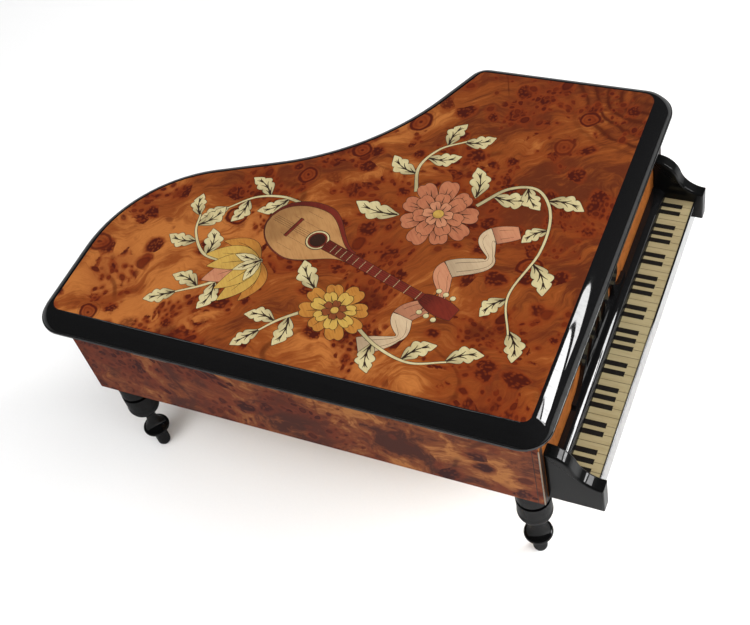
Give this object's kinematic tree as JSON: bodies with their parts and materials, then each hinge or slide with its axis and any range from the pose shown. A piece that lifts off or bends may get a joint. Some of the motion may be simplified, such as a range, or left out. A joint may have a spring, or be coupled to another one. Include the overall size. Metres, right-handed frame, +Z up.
{
  "type": "piano music box",
  "caption": "Grand-piano-shaped musical jewellery box with a hinged inlaid lid, velvet-lined compartments, a spring-wound comb movement stopped by the lid, and turned legs.",
  "frame": {"origin": "middle of the closed box's bounding box, on the surface that the legs stand on", "axes": "+Z up, +Y from the keyboard to the tail, +X from the bass (hinge) side to the treble side"},
  "size_m": [0.1904, 0.2436, 0.1044],
  "materials": {
    "black_lacquer": "gloss",
    "satin_black": "satin",
    "burl_veneer": "gloss",
    "side_veneer": "gloss",
    "case_wood": "plain",
    "ivory_keys": "satin",
    "ebony_keys": "gloss",
    "red_velvet": "velvet",
    "clear_window": "clear",
    "brass": "polished",
    "steel": "brushed",
    "cast_bed": "painted",
    "fan_plastic": "plain"
  },
  "bodies": {
    "case": {"base_board": "case_wood", "bass_cheek": "satin_black", "bass_side": "case_wood", "bedplate": "cast_bed", "bent_side": "case_wood", "black_keys": "ebony_keys", "case_veneer": "side_veneer", "comb": "steel", "comb_screws": "steel", "cover_rails": "case_wood", "cover_screws": "brass", "fallboard": "black_lacquer", "floor_velvet": "red_velvet", "front_bass_leg": "black_lacquer", "front_board": "case_wood", "front_treble_leg": "black_lacquer", "governor_bracket": "brass", "governor_screws": "steel", "hinge_case_leaves": "brass", "hinge_case_screws": "brass", "hinge_pins": "brass", "keybed": "satin_black", "keyslip": "black_lacquer", "leg_screws": "steel", "long_partition": "case_wood", "movement_cover": "clear_window", "movement_screws": "steel", "music_desk": "black_lacquer", "ring_cushion": "red_velvet", "short_partition": "case_wood", "stop_rod_bush": "brass", "tail_leg": "black_lacquer", "treble_cheek": "satin_black", "wall_velvet": "red_velvet", "white_keys": "ivory_keys"},
    "lid": {"lid_board": "case_wood", "lid_moulding": "black_lacquer", "lid_veneer": "burl_veneer", "lid_lining": "red_velvet", "hinge_lid_leaves": "brass", "hinge_lid_screws": "brass"},
    "cylinder": {"cylinder_arbor": "steel", "cylinder_drum": "brass", "cylinder_pinion": "steel", "cylinder_gear": "brass"},
    "barrel": {"spring_barrel": "brass"},
    "winding": {"winding_arbor": "steel", "winding_key": "steel"},
    "governor": {"governor_wheel": "brass"},
    "brake": {"air_brake": "fan_plastic"},
    "stop_lever": {"stop_lever": "steel"},
    "stop_rod": {"stop_rod": "steel"}
  },
  "joints": [
    {"name": "lid_hinge", "type": "hinge", "parent": "case", "child": "lid", "pos_m": [-0.093, 0, 0.0953], "axis": [0, -1, 0], "range_deg": [0, 98]},
    {"name": "stop_rod_slide", "type": "slide", "parent": "case", "child": "stop_rod", "axis": [0, 0, 1], "range_m": [0, 0.0022]},
    {"name": "stop_lever_turn", "type": "hinge", "parent": "case", "child": "stop_lever", "pos_m": [0.0511, -0.08274, 0.08375], "axis": [0, -1, 0], "range_deg": [0, 9]},
    {"name": "cylinder_spin", "type": "hinge", "parent": "case", "child": "cylinder", "pos_m": [0.0524, -0.07105, 0.07645], "axis": [1, 0, 0], "continuous": true},
    {"name": "barrel_spin", "type": "hinge", "parent": "case", "child": "barrel", "pos_m": [0.03, -0.07105, 0.068], "axis": [0, 0, 1], "continuous": true},
    {"name": "governor_wheel_spin", "type": "hinge", "parent": "case", "child": "governor", "pos_m": [0.067, -0.07745, 0.07165], "axis": [1, 0, 0], "continuous": true},
    {"name": "air_brake_spin", "type": "hinge", "parent": "case", "child": "brake", "pos_m": [0.0671, -0.08274, 0.0715], "axis": [0, 0, 1], "continuous": true},
    {"name": "winding_key_turn", "type": "hinge", "parent": "case", "child": "winding", "pos_m": [0.03, -0.07105, 0.045], "axis": [0, 0, 1], "continuous": true}
  ],
  "couplings": [
    {"joint": "stop_rod_slide", "follows": "lid_hinge", "m_per_rad": 0.00128},
    {"joint": "stop_lever_turn", "follows": "lid_hinge", "ratio": 0.0918},
    {"joint": "barrel_spin", "follows": "cylinder_spin", "ratio": 0.25},
    {"joint": "governor_wheel_spin", "follows": "cylinder_spin", "ratio": -4},
    {"joint": "air_brake_spin", "follows": "cylinder_spin", "ratio": -96}
  ]
}
